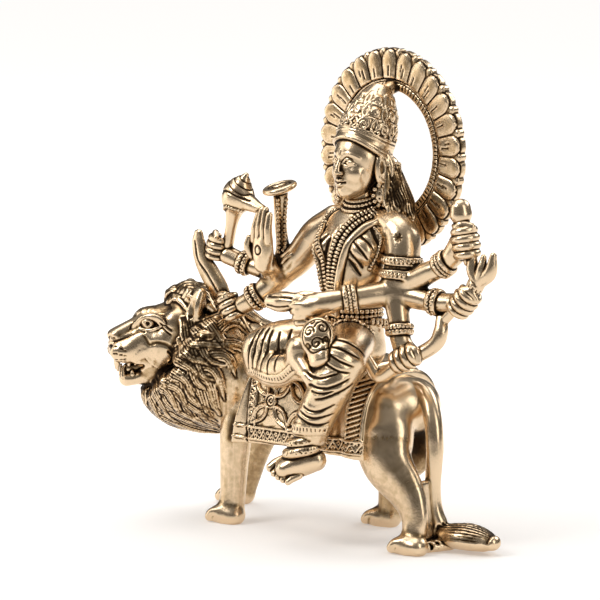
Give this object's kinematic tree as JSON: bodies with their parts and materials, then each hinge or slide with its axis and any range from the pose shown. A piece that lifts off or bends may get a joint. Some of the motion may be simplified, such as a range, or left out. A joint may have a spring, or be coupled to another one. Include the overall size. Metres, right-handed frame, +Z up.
{
  "type": "goddess on lion figure",
  "caption": "Cast brass figure of Durga, many-armed and crowned, seated side-saddle on a walking lion before a ring halo.",
  "frame": {"origin": "on the ground, in the middle of the figure's length and width", "axes": "+Z up; the goddess faces -Y; the lion walks towards -X with its head turned to -Y"},
  "size_m": [0.1972, 0.0864, 0.2188],
  "materials": {
    "brass": "polished, with dark patina left in the recesses"
  },
  "bodies": {
    "root": {"durga_on_lion": "brass"}
  },
  "joints": []
}
